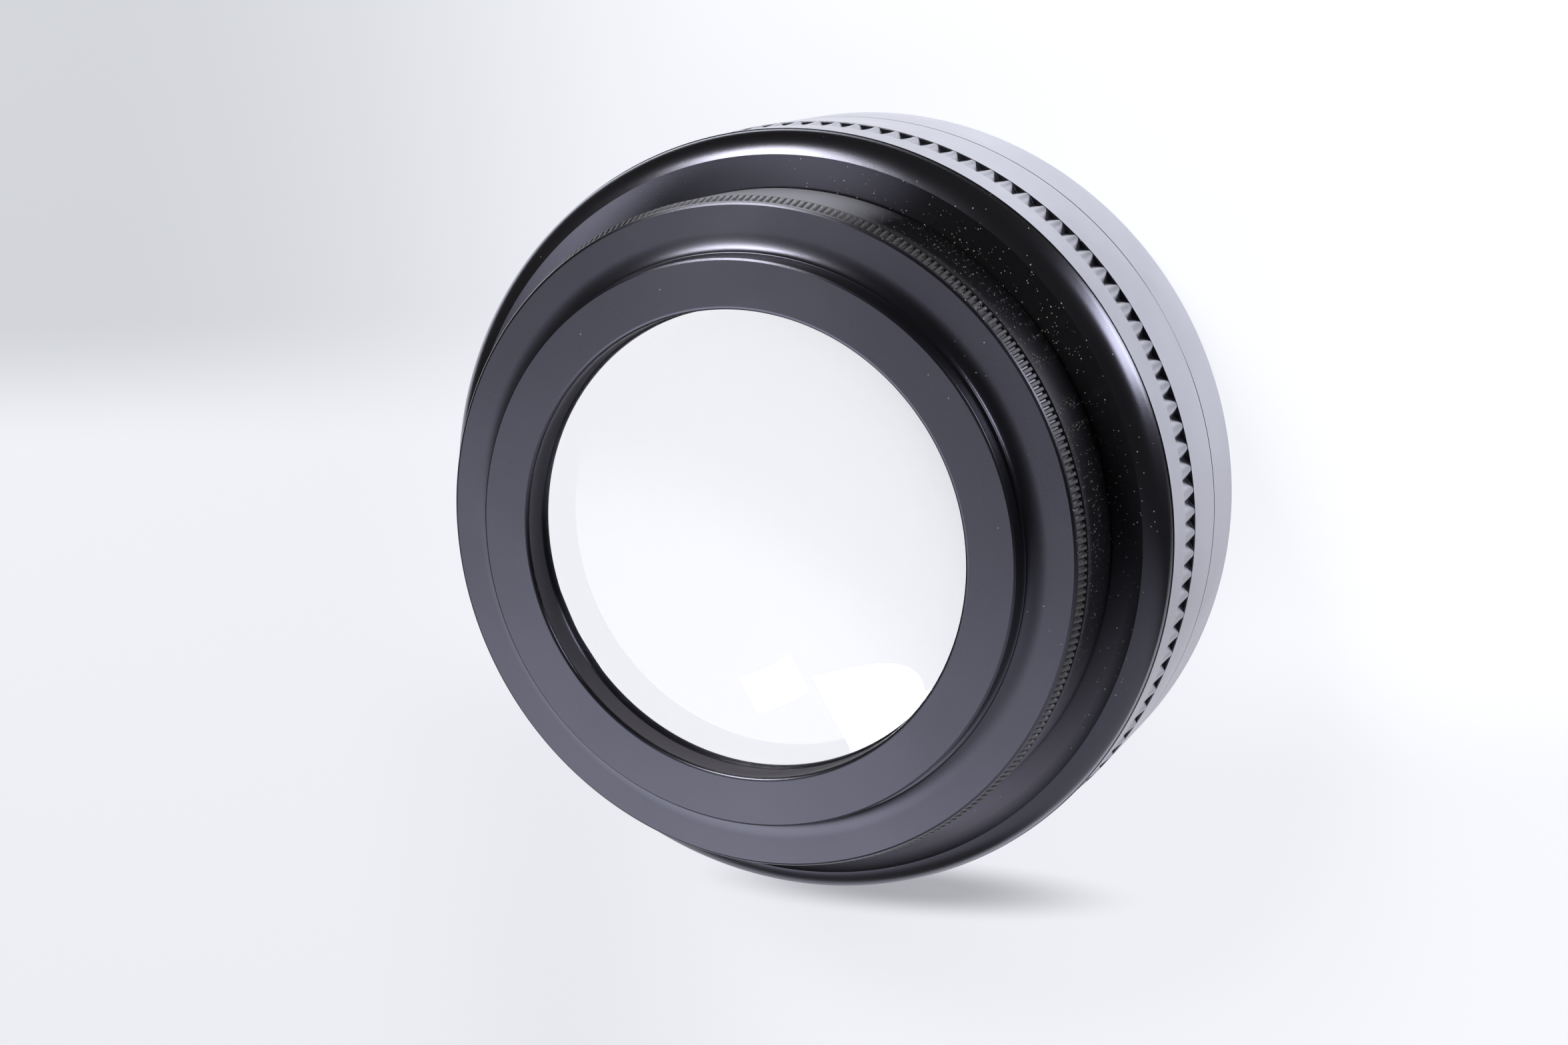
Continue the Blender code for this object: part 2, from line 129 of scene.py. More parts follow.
def turn(name, outline, segments, cored=True):
    """Turn an outline of (radius, depth) points; a cored piece has a hole down its middle."""
    deselect_all()
    radius, depth = outline[0]
    fill = "NOTHING" if cored else "NGON"
    bpy.ops.mesh.primitive_circle_add(
        vertices=segments, radius=radius, fill_type=fill, location=(0, 0, up(depth)))
    piece = bpy.context.object
    piece.name = name
    piece.data.name = name
    bpy.ops.object.transform_apply(location=True, rotation=True, scale=True)
    bpy.ops.object.mode_set(mode="EDIT")
    bpy.ops.mesh.select_mode(type="EDGE")
    bpy.ops.mesh.select_all(action="SELECT")
    for next_radius, next_depth in outline[1:]:
        drop = {"value": (0, 0, depth - next_depth)}
        bpy.ops.mesh.extrude_edges_move(TRANSFORM_OT_translate=drop)
        scale = next_radius / radius
        bpy.ops.transform.resize(value=(scale, scale, 1), center_override=(0, 0, 0))
        radius, depth = next_radius, next_depth
    if cored:
        select_open_edges(piece)
        bpy.ops.mesh.bridge_edge_loops()
    else:
        bpy.ops.mesh.edge_face_add()
    bpy.ops.mesh.select_all(action="SELECT")
    bpy.ops.mesh.normals_make_consistent(inside=False)
    bpy.ops.object.mode_set(mode="OBJECT")
    return piece


def finish_piece(piece, material, *nodes, angle=30):
    """Shade a piece, give it its material and let it stand for its CAD node."""
    deselect_all()
    bpy.context.view_layer.objects.active = piece
    piece.select_set(True)
    bpy.ops.object.shade_smooth_by_angle(angle=math.radians(angle))
    piece.data.materials.clear()
    piece.data.materials.append(material)
    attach(piece, "root")
    if nodes:
        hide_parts(*nodes)
    print(piece.name, len(piece.data.polygons), "faces")


def arc(centre, across, along, start, end, steps):
    """Points of a round stretch of an outline, with both its ends."""
    points = []
    for step in range(steps + 1):
        angle = math.radians(start + (end - start) * step / steps)
        points.append((centre[0] + across * math.cos(angle), centre[1] + along * math.sin(angle)))
    return points


def soft_corner(corner, before, after, size, steps=4):
    """Round a corner of an outline, with a holding point on each side of the round."""
    corner, before, after = Vector(corner), Vector(before), Vector(after)
    back, ahead = (before - corner).normalized(), (after - corner).normalized()
    start, end = corner + back * size, corner + ahead * size
    points = [start + back * HOLD]
    for step in range(steps + 1):
        share = step / steps
        bend = corner * 2 * share * (1 - share)
        points.append(start * (1 - share) ** 2 + bend + end * share ** 2)
    points.append(end + ahead * HOLD)
    return [(point.x, point.y) for point in points]


def flat_bevel(start, end, before, after):
    """A bevel that keeps its own flat shading, with holding points on both sides of each edge."""
    start, end, before, after = Vector(start), Vector(end), Vector(before), Vector(after)
    back, ahead = (before - start).normalized(), (after - end).normalized()
    slope = (end - start).normalized()
    points = [start + back * HOLD, start, start + slope * HOLD]
    points += [end - slope * HOLD, end, end + ahead * HOLD]
    return [(point.x, point.y) for point in points]


def soften(outline, sizes):
    """Round the corners of a closed outline; sizes gives a radius for each corner, or 0."""
    points = []
    for index, (corner, size) in enumerate(zip(outline, sizes)):
        if size:
            before = outline[index - 1]
            after = outline[(index + 1) % len(outline)]
            points += soft_corner(corner, before, after, size)
        else:
            points.append(corner)
    return points


print("holding loops lie", HOLD, "m from a round")

# %% [markdown]
# A finish is a tree of shader nodes, which could be wired by hand in the node editor. The same few
# come back in every finish here, such as a noise, a step along a direction or a mix of colours, so
# each of them has a short helper. Places are read as Object coordinates, in metres on this lens.

# %% Helpers for shader nodes


def add_node(tree, kind, **inputs):
    """Add a node and set its inputs by name; underscores stand for spaces."""
    node = tree.nodes.new(kind)
    for name, value in inputs.items():
        node.inputs[name.replace("_", " ")].default_value = value
    return node


def new_material(name):
    """A node material with its Principled shader."""
    material = bpy.data.materials.new(name)
    material.use_nodes = True
    tree = material.node_tree
    return material, tree, tree.nodes["Principled BSDF"]


def object_noise(tree, scale, detail, roughness=0.5):
    """Noise on Object coordinates; the scale is in waves for each metre."""
    place = tree.nodes.new("ShaderNodeTexCoord")
    noise = add_node(tree, "ShaderNodeTexNoise", Scale=scale, Detail=detail, Roughness=roughness)
    tree.links.new(place.outputs["Object"], noise.inputs["Vector"])
    return noise


def ramp(tree, source, low, high, start, end):
    """Map a factor from low..high to start..end."""
    change = tree.nodes.new("ShaderNodeMapRange")
    change.inputs["From Min"].default_value = low
    change.inputs["From Max"].default_value = high
    change.inputs["To Min"].default_value = start
    change.inputs["To Max"].default_value = end
    tree.links.new(source, change.inputs["Value"])
    return change.outputs["Result"]


def fade(tree, source, low, high, start, end):
    """A soft step from start to end."""
    result = ramp(tree, source, low, high, start, end)
    result.node.interpolation_type = "SMOOTHSTEP"
    return result


def along(tree, source, direction):
    """How far a place or a ray lies along a direction."""
    dot = tree.nodes.new("ShaderNodeVectorMath")
    dot.operation = "DOT_PRODUCT"
    dot.inputs[1].default_value = direction.normalized()
    tree.links.new(source, dot.inputs[0])
    return dot.outputs["Value"]


def distance_out(tree, source):
    """Distance of a place from the optical axis."""
    flat = tree.nodes.new("ShaderNodeVectorMath")
    flat.operation = "MULTIPLY"
    flat.inputs[1].default_value = (1, 1, 0)
    tree.links.new(source, flat.inputs[0])
    length = tree.nodes.new("ShaderNodeVectorMath")
    length.operation = "LENGTH"
    tree.links.new(flat.outputs["Vector"], length.inputs[0])
    return length.outputs["Value"]


def mix_colour(tree, factor, first, second):
    """Mix two colours, each a socket or a plain value."""
    mix = tree.nodes.new("ShaderNodeMix")
    mix.data_type = "RGBA"
    tree.links.new(factor, mix.inputs["Factor"])
    for name, value in (("A", first), ("B", second)):
        socket = [item for item in mix.inputs if item.name == name and item.type == "RGBA"][0]
        if isinstance(value, tuple):
            socket.default_value = value
        else:
            tree.links.new(value, socket)
    return [item for item in mix.outputs if item.type == "RGBA"][0]


def calculate(tree, operation, *values):
    """One Math node; each value is a socket or a number."""
    node = tree.nodes.new("ShaderNodeMath")
    node.operation = operation
    for index, value in enumerate(values):
        if isinstance(value, (int, float)):
            node.inputs[index].default_value = value
        else:
            tree.links.new(value, node.inputs[index])
    return node.outputs[0]


def multiply(tree, first, second):
    """The product of two factors."""
    return calculate(tree, "MULTIPLY", first, second)


def brighter(colour, times):
    """A colour made brighter by a factor."""
    return tuple(value * times for value in colour[:3]) + (1,)


print("helpers for shader nodes are ready")

# %% [markdown]
# Anodised aluminium is a black dye under a thin clear oxide skin. Seen straight on it is nearly
# black, and at a flat angle the skin mirrors the room in a soft grey. One Principled shader does
# both, with a dark base, no metallic value and a raised IOR. A fine noise bump gives the
# bead-blasted grain, and a wide noise changes the roughness where hands have been.
#
# Specks of dust could be thousands of small meshes, but a pattern does the same at no cost. Each
# cell of a Voronoi texture has a random colour: its red decides whether a speck lies there, its
# green how large the speck is, and its blue how warm. A slow noise gathers the specks in clouds,
# and most of them lie on one side of the lens.

# %% Make the anodised metal
SKIN_IOR = 2.0
METAL_TINT = (0.94, 0.93, 1.13, 1)
GRAIN_SCALE = 14000
GRAIN_HEIGHT = 0.02 * MM
SMUDGE_SCALE = 60
SMUDGE_BAND = (0.3, 0.7)
SMUDGE_ROUGHENS = 0.03
SMUDGE_BRIGHTENS = 1.35
DUST_SCALE = 4200
DUST_SIZE = 0.36
DUST_FINENESS = 2.5
CLOUD_SCALE = 130
CLOUD_WIDTH = 0.25
CLEAN_SHARE = 0.02
DUSTY_SIDE = Vector((0, -1, 0))
DUSTY_REACH = (15 * MM, 34 * MM)
OTHER_SIDE_SHARE = 0.04
OUTER_SHARE = 0.06
WARM_DUST = (0.42, 0.34, 0.22, 1)
COOL_DUST = (0.50, 0.58, 0.60, 1)


def dust_mask(tree, amount, clouds_from, radii=None):
    """Small round specks and their colour, thicker in clouds and on the dusty side."""
    place = tree.nodes.new("ShaderNodeTexCoord").outputs["Object"]
    cells = tree.nodes.new("ShaderNodeTexVoronoi")
    cells.inputs["Scale"].default_value = DUST_SCALE
    tree.links.new(place, cells.inputs["Vector"])
    chance = tree.nodes.new("ShaderNodeSeparateColor")
    tree.links.new(cells.outputs["Color"], chance.inputs["Color"])
    clouds = object_noise(tree, CLOUD_SCALE, 2).outputs["Fac"]
    clouds_to = clouds_from + CLOUD_WIDTH
    here = ramp(tree, clouds, clouds_from, clouds_to, CLEAN_SHARE * amount, amount)
    side = fade(tree, along(tree, place, DUSTY_SIDE), *DUSTY_REACH, OTHER_SIDE_SHARE, 1.0)
    here = multiply(tree, here, side)
    if radii:
        inside = ramp(tree, distance_out(tree, place), *radii, 1.0, OUTER_SHARE)
        here = multiply(tree, here, inside)
    picked = calculate(tree, "LESS_THAN", chance.outputs["Red"], here)
    size = calculate(tree, "POWER", chance.outputs["Green"], DUST_FINENESS)
    size = multiply(tree, size, DUST_SIZE)
    speck = calculate(tree, "LESS_THAN", cells.outputs["Distance"], size)
    dust_colour = mix_colour(tree, chance.outputs["Blue"], WARM_DUST, COOL_DUST)
    return multiply(tree, picked, speck), dust_colour


def satin_metal(name, colour, roughness, grain, dust, clouds_from, radii=None, ior=SKIN_IOR):
    """Black anodised metal with grain, smudges and dust.

    Dust is the share of cells that hold a speck in the clouds, which start where the slow noise
    passes clouds_from. With two radii, the dust thins out from the first to the second.
    """
    material, tree, shader = new_material(name)
    shader.inputs["IOR"].default_value = ior
    shader.inputs["Specular Tint"].default_value = METAL_TINT
    smudges = object_noise(tree, SMUDGE_SCALE, 3).outputs["Fac"]
    smooth, rough = roughness - SMUDGE_ROUGHENS, roughness + SMUDGE_ROUGHENS
    tree.links.new(ramp(tree, smudges, *SMUDGE_BAND, smooth, rough), shader.inputs["Roughness"])
    specks, dust_colour = dust_mask(tree, dust, clouds_from, radii)
    tint = mix_colour(tree, smudges, colour, brighter(colour, SMUDGE_BRIGHTENS))
    tree.links.new(mix_colour(tree, specks, tint, dust_colour), shader.inputs["Base Color"])
    grain_noise = object_noise(tree, GRAIN_SCALE, 0)
    bump = add_node(tree, "ShaderNodeBump", Strength=grain, Distance=GRAIN_HEIGHT)
    tree.links.new(grain_noise.outputs["Fac"], bump.inputs["Height"])
    tree.links.new(bump.outputs["Normal"], shader.inputs["Normal"])
    return material


satin_black = satin_metal(
    "satin_black", (0.006, 0.0055, 0.0065, 1),
    roughness=0.28, grain=0.2, dust=0.05, clouds_from=0.5)
satin_shoulder = satin_metal(
    "satin_shoulder", (0.009, 0.0082, 0.0085, 1),
    roughness=0.23, grain=0.25, dust=0.9, clouds_from=0.35, radii=(35.0 * MM, 39.2 * MM))
satin_band = satin_metal(
    "satin_band", (0.008, 0.008, 0.009, 1),
    roughness=0.24, grain=0.3, dust=0.02, clouds_from=0.55)
dusty_black_and_painted_light = satin_metal(
    "dusty_black_and_painted_light", (0.005, 0.0045, 0.005, 1),
    roughness=0.30, grain=0.25, dust=0.8, clouds_from=0.3, ior=1.5)
worn_ribs = satin_metal(
    "worn_ribs", (0.075, 0.072, 0.066, 1),
    roughness=0.5, grain=0.6, dust=0.3, clouds_from=0.4, ior=1.45)
bore_grey = satin_metal(
    "bore_grey", (0.10, 0.095, 0.107, 1),
    roughness=0.45, grain=0.2, dust=0.02, clouds_from=0.6, ior=1.5)

# The lathe leaves rings round the axis, so the flats mirror a lamp as a fan across them.
turned_gloss = satin_black.node_tree.nodes["Principled BSDF"]
turned_gloss.inputs["Anisotropic"].default_value = 0.7
turned_gloss.inputs["Anisotropic Rotation"].default_value = 0.25
anodised = (satin_black, satin_shoulder, satin_band, dusty_black_and_painted_light, worn_ribs, bore_grey)
print("anodised finishes", [finish.name for finish in anodised])

# %% [markdown]
# A grey mixed into the base colour lightens one side of a piece. It could be a second shader,
# but a mix is enough for black metal. A soft step along a direction says which side it covers.
# As the camera sees the lens, a painted sheen from the softbox lies at the top of the rim and the
# neck, and painted light from below lies at the bottom of the rim and the neck and low on the
# barrel's rear plane. A faint plain grey lies all over the rim and the end of the neck beside it.

# %% Paint a sheen, light from below and a faint grey
HIGH_SIDE = Vector((0.881, -0.472, 0))
LOW_SIDE = Vector((-0.984, 0.176, 0))
REAR_END = Vector((0, 0, 1))
PAINTED_SHEEN = (0.60, 0.60, 0.64, 1)
PLAIN_GREY = (0.50, 0.49, 0.50, 1)
PAINTED_LOW_LIGHT = (0.60, 0.57, 0.64, 1)


def lay_painted_tone(material, towards, reach, amount, colour, radii=None):
    """A painted tone that grows to its amount over a reach towards one side of a piece.

    With two radii, it thins out to nothing from the first to the second.
    """
    tree = material.node_tree
    shader = tree.nodes["Principled BSDF"]
    place = tree.nodes.new("ShaderNodeTexCoord").outputs["Object"]
    here = fade(tree, along(tree, place, towards), *reach, 0.0, amount)
    if radii:
        here = multiply(tree, here, ramp(tree, distance_out(tree, place), *radii, 1.0, 0.0))
    below = shader.inputs["Base Color"].links[0].from_socket
    tree.links.new(mix_colour(tree, here, below, colour), shader.inputs["Base Color"])
    print(material.name, "has a film of up to", amount)


# A painted sheen from the softbox at the top of the rim and the neck.
lay_painted_tone(dusty_black_and_painted_light, HIGH_SIDE, (31.5 * MM, 34.5 * MM), 0.85, PAINTED_SHEEN)
# A faint plain grey that grows towards the rear end, over the rim and the end of the neck.
lay_painted_tone(dusty_black_and_painted_light, REAR_END, (up(6.6 * MM), up(4.8 * MM)), 0.07, PLAIN_GREY)
# Painted light from below, on the bottom of the rim and the neck and low on the barrel's rear
# plane.
lay_painted_tone(dusty_black_and_painted_light, LOW_SIDE, (18 * MM, 31 * MM), 0.22, PAINTED_LOW_LIGHT)
lay_painted_tone(satin_shoulder, LOW_SIDE, (10 * MM, 34.5 * MM), 0.30, PAINTED_LOW_LIGHT, (36.8 * MM, 38 * MM))

# %% [markdown]
# The glass is clear and coated. Its shader only transmits and mirrors a little, with no roughness.
# The paint of the baffle and the rubber are matt, and a noise keeps their surface uneven.

# %% Make the glass, the matt black and the rubber
GLASS_IOR = 1.52
COATED_SPECULAR = 0.1
MATT_BRIGHTENS = 1.6
MATT_BUMP = 0.3
MATT_HEIGHT = 0.03 * MM


def clear_glass_material():
    """Coated optical glass."""
    material, tree, shader = new_material("coated_glass")
    shader.inputs["Base Color"].default_value = (1, 1, 1, 1)
    shader.inputs["Transmission Weight"].default_value = 1.0
    shader.inputs["Roughness"].default_value = 0.0
    shader.inputs["IOR"].default_value = GLASS_IOR
    shader.inputs["Specular IOR Level"].default_value = COATED_SPECULAR
    return material


def matt_material(name, colour, roughness, scale):
    """A matt black finish with a fine uneven surface."""
    material, tree, shader = new_material(name)
    shader.inputs["Roughness"].default_value = roughness
    noise = object_noise(tree, scale, 3).outputs["Fac"]
    uneven = mix_colour(tree, noise, colour, brighter(colour, MATT_BRIGHTENS))
    tree.links.new(uneven, shader.inputs["Base Color"])
    bump = add_node(tree, "ShaderNodeBump", Strength=MATT_BUMP, Distance=MATT_HEIGHT)
    tree.links.new(noise, bump.inputs["Height"])
    tree.links.new(bump.outputs["Normal"], shader.inputs["Normal"])
    return material


coated_glass = clear_glass_material()
baffle_paint = matt_material("baffle_paint", (0.010, 0.010, 0.011, 1), 0.75, 2500)
seal_rubber = matt_material("seal_rubber", (0.014, 0.014, 0.014, 1), 0.85, 1500)
print("glass and matt finishes", coated_glass.name, baffle_paint.name, seal_rubber.name)

# %% [markdown]
# The mount ring has a smooth collar, a shallow cove and a flange with about 300 fine ribs on its
# flared rim. Its outline runs down the outer side and back up the bore, where a small lip holds
# the rear glass. The collar and the flange each have a narrow bevel that catches the light.

# %% Draw the outline of the mount ring
EDGE_BEVEL = 0.22 * MM
EDGE_DROP = 0.13 * MM
COLLAR_RADIUS = BORE_RADIUS + 5.1 * MM
COLLAR_HEIGHT = 2.0 * MM
LEDGE_RADIUS = COLLAR_RADIUS + 0.36 * MM
COVE_RADIUS = COLLAR_RADIUS + 2.2 * MM
COVE_BACK = COLLAR_HEIGHT + 0.16 * MM
COVE_START = 170
COVE_END = 90
COVE_STEPS = 11
FLANGE_DEPTH = COLLAR_HEIGHT + 0.8 * MM
FLANGE_RADIUS = COVE_RADIUS + 2.7 * MM
RIB_START = FLANGE_DEPTH + 0.3 * MM
RIB_FOOT = FLANGE_RADIUS + 0.33 * MM
RIB_END_RISE = 0.04 * MM
RIB_END_LENGTH = 0.1 * MM
RIM_RADIUS = node_radius("mount_ring")
RIM_BACK = FLANGE_DEPTH + 1.9 * MM
RIM_ROUND = 0.4 * MM
MOUNT_SPIGOT = GLASS_RADIUS + 2.7 * MM
BORE_LENGTH = 3.0 * MM
BORE_BREAK = 0.02 * MM
LIP_RADIUS = BORE_RADIUS - 0.15 * MM
LIP_BACK = BORE_LENGTH + 0.2 * MM
LIP_DEPTH = 4.2 * MM


def mount_ring_outline():
    """Outline of the mount ring, down its outer side and back up the bore."""
    wall_foot = (COLLAR_RADIUS, COLLAR_HEIGHT)
    edge_start, edge_end = (COLLAR_RADIUS - EDGE_BEVEL, 0), (COLLAR_RADIUS, EDGE_DROP)
    outline = flat_bevel(edge_start, edge_end, (BORE_RADIUS, 0), wall_foot)
    outline.append(wall_foot)
    ledge = (LEDGE_RADIUS, COLLAR_HEIGHT)
    outline += soft_corner(ledge, wall_foot, (LEDGE_RADIUS, COVE_BACK), 0.12 * MM)
    across, deep = COVE_RADIUS - LEDGE_RADIUS, FLANGE_DEPTH - COVE_BACK
    outline += arc((COVE_RADIUS, COVE_BACK), across, deep, COVE_START, COVE_END, COVE_STEPS)
    outline.append((COVE_RADIUS + HOLD, FLANGE_DEPTH))
    rib_back = (RIB_FOOT, RIB_START)
    edge_start = (FLANGE_RADIUS, FLANGE_DEPTH)
    edge_end = (FLANGE_RADIUS + EDGE_BEVEL, FLANGE_DEPTH + EDGE_DROP)
    outline += flat_bevel(edge_start, edge_end, (COVE_RADIUS, FLANGE_DEPTH), rib_back)
    outline += [rib_back, (RIB_FOOT + RIB_END_RISE, RIB_START + RIB_END_LENGTH)]
    spigot = (MOUNT_SPIGOT, RIM_BACK)
    outline += soft_corner((RIM_RADIUS, RIM_BACK), outline[-1], spigot, RIM_ROUND)
    outline += [spigot, (MOUNT_SPIGOT, node_front("mount_ring"))]
    outline += [(GLASS_RADIUS + FIT, node_front("mount_ring")), (GLASS_RADIUS + FIT, LIP_DEPTH)]
    outline += [(LIP_RADIUS, LIP_DEPTH), (LIP_RADIUS, LIP_BACK)]
    outline.append((BORE_RADIUS - 2 * BORE_BREAK, BORE_LENGTH + BORE_BREAK))
    bore_foot = (BORE_RADIUS, BORE_LENGTH - BORE_BREAK)
    outline.append(bore_foot)
    outline += soft_corner((BORE_RADIUS, 0), bore_foot, (COLLAR_RADIUS, 0), 0.35 * MM)
    return outline


print("mount ring outline of", len(mount_ring_outline()), "points")

# %% [markdown]
# Such ribs are rolled or cut into the rim of a real ring. Cutting 300 grooves out of a mesh is slow
# and leaves poor faces, so the ring is turned with five columns for each rib. Two of the five are
# then scaled inwards on the rim, which presses all the grooves at once.

# %% Turn the mount ring and press its ribs
RIB_COUNT = 300
RIB_COLUMNS = 5
RIB_GROOVE = 0.28 * MM
GROOVE_COLUMNS = (2, 3)
RIM_CORE = FLANGE_RADIUS - 0.6 * MM


def press_columns(piece, columns, count, chosen, depths, core, scale):
    """Scale chosen columns of a turned piece inwards, between two depths and outside a core."""
    edit(piece)
    bpy.ops.mesh.select_mode(type="VERT")
    mesh = bmesh.from_edit_mesh(piece.data)
    pitch = 2 * math.pi / (columns * count)
    for vertex in mesh.verts:
        column = round(math.atan2(vertex.co.y, vertex.co.x) / pitch) % columns
        in_band = depths[0] < LENS_LENGTH - vertex.co.z < depths[1]
        vertex.select_set(in_band and column in chosen and vertex.co.xy.length > core)
    bmesh.update_edit_mesh(piece.data)
    bpy.ops.transform.resize(value=(scale, scale, 1), center_override=(0, 0, 0))
    bpy.ops.object.mode_set(mode="OBJECT")


mount_ring = turn("mount_ring_turned", mount_ring_outline(), RIB_COUNT * RIB_COLUMNS)
rib_depths = (RIB_START + 0.05 * MM, RIM_BACK + 0.01 * MM)
root_share = 1 - RIB_GROOVE / RIM_RADIUS
press_columns(
    mount_ring, RIB_COLUMNS, RIB_COUNT, GROOVE_COLUMNS, rib_depths, RIM_CORE, root_share)
finish_piece(mount_ring, satin_black, "mount_ring", angle=60)

# %% [markdown]
# The rim is duller than the collar: dust fills its cone and its grooves, and the tops of the ribs
# are worn. The wall of the bore is an even grey. Separate pieces would show seams, so the ring gets
# more material slots instead. Its faces are picked by where their middle lies, and the newest slot
# is assigned to them, as the Assign button does in edit mode.

# %% Finish the rim and the bore
RIB_PITCH = 2 * math.pi / (RIB_COLUMNS * RIB_COUNT)
RIB_TOPS = (4, 0)
RIB_WALL = 0.12 * MM
MARGIN = 0.02 * MM


def finish_faces(piece, material, wanted):
    """Give another finish to the faces that a test of radius, depth and angle wants."""
    piece.data.materials.append(material)
    edit(piece)
    bpy.ops.mesh.select_mode(type="FACE")
    mesh = bmesh.from_edit_mesh(piece.data)
    for face in mesh.faces:
        middle = face.calc_center_median()
        angle = math.atan2(middle.y, middle.x)
        face.select_set(wanted(middle.xy.length, LENS_LENGTH - middle.z, angle))
    bmesh.update_edit_mesh(piece.data)
    piece.active_material_index = len(piece.data.materials) - 1
    bpy.ops.object.material_slot_assign()
    bpy.ops.object.mode_set(mode="OBJECT")
    print(piece.name, "is finished in part with", material.name)


def on_rim(radius, depth, angle):
    """True on the cone of the rim, its ribs and its grooves."""
    return radius > RIM_CORE and FLANGE_DEPTH + EDGE_DROP + MARGIN < depth < RIM_BACK - MARGIN


def on_ribs(radius, depth, angle):
    """True on the tops of the ribs and on the wall at their rear end."""
    top = math.floor(angle / RIB_PITCH) % RIB_COLUMNS in RIB_TOPS
    in_band = RIB_START - MARGIN < depth < RIM_BACK - MARGIN
    return radius > RIM_CORE and in_band and (top or depth < RIB_START + RIB_WALL)


def in_bore(radius, depth, angle):
    """True on the wall of the bore."""
    return radius < BORE_RADIUS + 0.1 * MM and 0.3 * MM < depth < BORE_LENGTH


# The rim's cone and grooves also carry the painted sheen at the top and the painted light from
# below.
finish_faces(mount_ring, dusty_black_and_painted_light, on_rim)
finish_faces(mount_ring, worn_ribs, on_ribs)
finish_faces(mount_ring, bore_grey, in_bore)

# %% [markdown]
# The neck of the rear cell is a plain cylinder between the flange and the barrel. Most dust lies
# here, because a cloth doesn't reach it. It is turned with its spigot and its glass ledge.

# %% Turn the rear cell
NECK_RADIUS = node_radius("rear_cell")
NECK_BACK = node_back("rear_cell")
NECK_FRONT = NECK_BACK + 7.6 * MM
SPIGOT_RADIUS = NECK_RADIUS - 2.65 * MM
BAFFLE_BORE = SPIGOT_RADIUS - 1.6 * MM
LEDGE_DEPTH = node_front("rear_cushion") + FIT


def rear_cell_outline():
    """Outline of the rear cell from its rear face."""
    front = node_front("rear_cell")
    counterbore = MOUNT_SPIGOT + FIT
    counter_depth = node_front("mount_ring") + FIT
    ledge_front = LEDGE_DEPTH + 1.2 * MM
    ledge_radius = GLASS_RADIUS - 0.7 * MM
    back_edge, front_edge = (NECK_RADIUS, NECK_BACK), (NECK_RADIUS, NECK_FRONT)
    shelf = (SPIGOT_RADIUS, NECK_FRONT)
    outline = [(counterbore, NECK_BACK), back_edge]
    outline += soft_corner(front_edge, back_edge, shelf, 0.1 * MM)
    outline += [shelf, (SPIGOT_RADIUS, front), (BAFFLE_BORE, front)]
    outline += [(BAFFLE_BORE, ledge_front), (ledge_radius, ledge_front)]
    outline += [(ledge_radius, LEDGE_DEPTH), (GLASS_RADIUS + FIT, LEDGE_DEPTH)]
    outline += [(GLASS_RADIUS + FIT, counter_depth), (counterbore, counter_depth)]
    return outline


rear_cell = turn("rear_cell_turned", rear_cell_outline(), RING_SEGMENTS)
# The rear cell's finish also carries the painted sheen at the top and the painted light from below.
finish_piece(rear_cell, dusty_black_and_painted_light, "rear_cell")

# %% [markdown]
# The main barrel starts with a dished plane round the neck, has a crease and turns over a round
# shoulder. Its long sleeve is hidden under the outer rings.

# %% Turn the main barrel
BARREL_BACK = NECK_FRONT + FIT
NECK_GAP = 0.15 * MM
SHOULDER_ACROSS = 4.45 * MM
SHOULDER_ALONG = 3.05 * MM
SHOULDER_START = -61.8
SHOULDER_END = -12
SHOULDER_STEPS = 22
SHOULDER_RADIUS = BARREL_RADIUS - 0.3 * MM
SHOULDER_FRONT = BARREL_BACK + 1.75 * MM
FRONT_GLASS_RADIUS = node_radius("front_element")
SLEEVE_BORE = FRONT_GLASS_RADIUS + FIT
SLEEVE_RADIUS = RING_BORE - FIT
SLEEVE_CHAMFER = 0.3 * MM
BARREL_BORE = SPIGOT_RADIUS + FIT


def main_barrel_outline():
    """Outline of the main barrel from its rear bore."""
    seat = BARREL_BACK + 3.4 * MM
    front = node_front("main_barrel")
    outline = [(BARREL_BORE, BARREL_BACK), (NECK_RADIUS + NECK_GAP, BARREL_BACK)]
    centre = (SHOULDER_RADIUS - SHOULDER_ACROSS, SHOULDER_FRONT)
    outline += arc(
        centre, SHOULDER_ACROSS, SHOULDER_ALONG, SHOULDER_START, SHOULDER_END, SHOULDER_STEPS)
    outline += [(SHOULDER_RADIUS, SHOULDER_FRONT), (SLEEVE_RADIUS, SHOULDER_FRONT)]
    outline.append((SLEEVE_RADIUS, front - SLEEVE_CHAMFER))
    outline += [(SLEEVE_RADIUS - SLEEVE_CHAMFER, front), (SLEEVE_BORE, front)]
    outline += [(SLEEVE_BORE, seat), (BARREL_BORE, seat)]
    return outline


main_barrel = turn("main_barrel_turned", main_barrel_outline(), RING_SEGMENTS)
finish_piece(main_barrel, satin_shoulder, "main_barrel", angle=24)

# %% [markdown]
# The grip ring ends in 116 pyramid teeth. Between two teeth a V groove deepens towards the name
# ring, so the black wall of that ring shows behind each gap. The ring is turned with sixteen
# columns for each tooth, and each column of the last loops is scaled to the depth of the V there.

# %% Turn the grip ring and press its teeth
TOOTH_COUNT = 116
TOOTH_COLUMNS = 16
TOOTH_DEPTH = 0.58 * MM
GRIP_RADIUS = BARREL_RADIUS - 0.2 * MM
SEAM = 0.08 * MM
GRIP_BACK = node_back("grip_ring") - FIT + SEAM
GRIP_FRONT = node_front("grip_ring") + FIT - SEAM
TEETH_BACK = node_front("grip_ring") - 2.8 * MM
TIP_CHAMFER = 0.08 * MM
GROOVE_START = 0.45
GROOVE_END = 0.85
GRIP_CORE = RING_BORE + 1.0 * MM
LOOP_REACH = 0.01 * MM


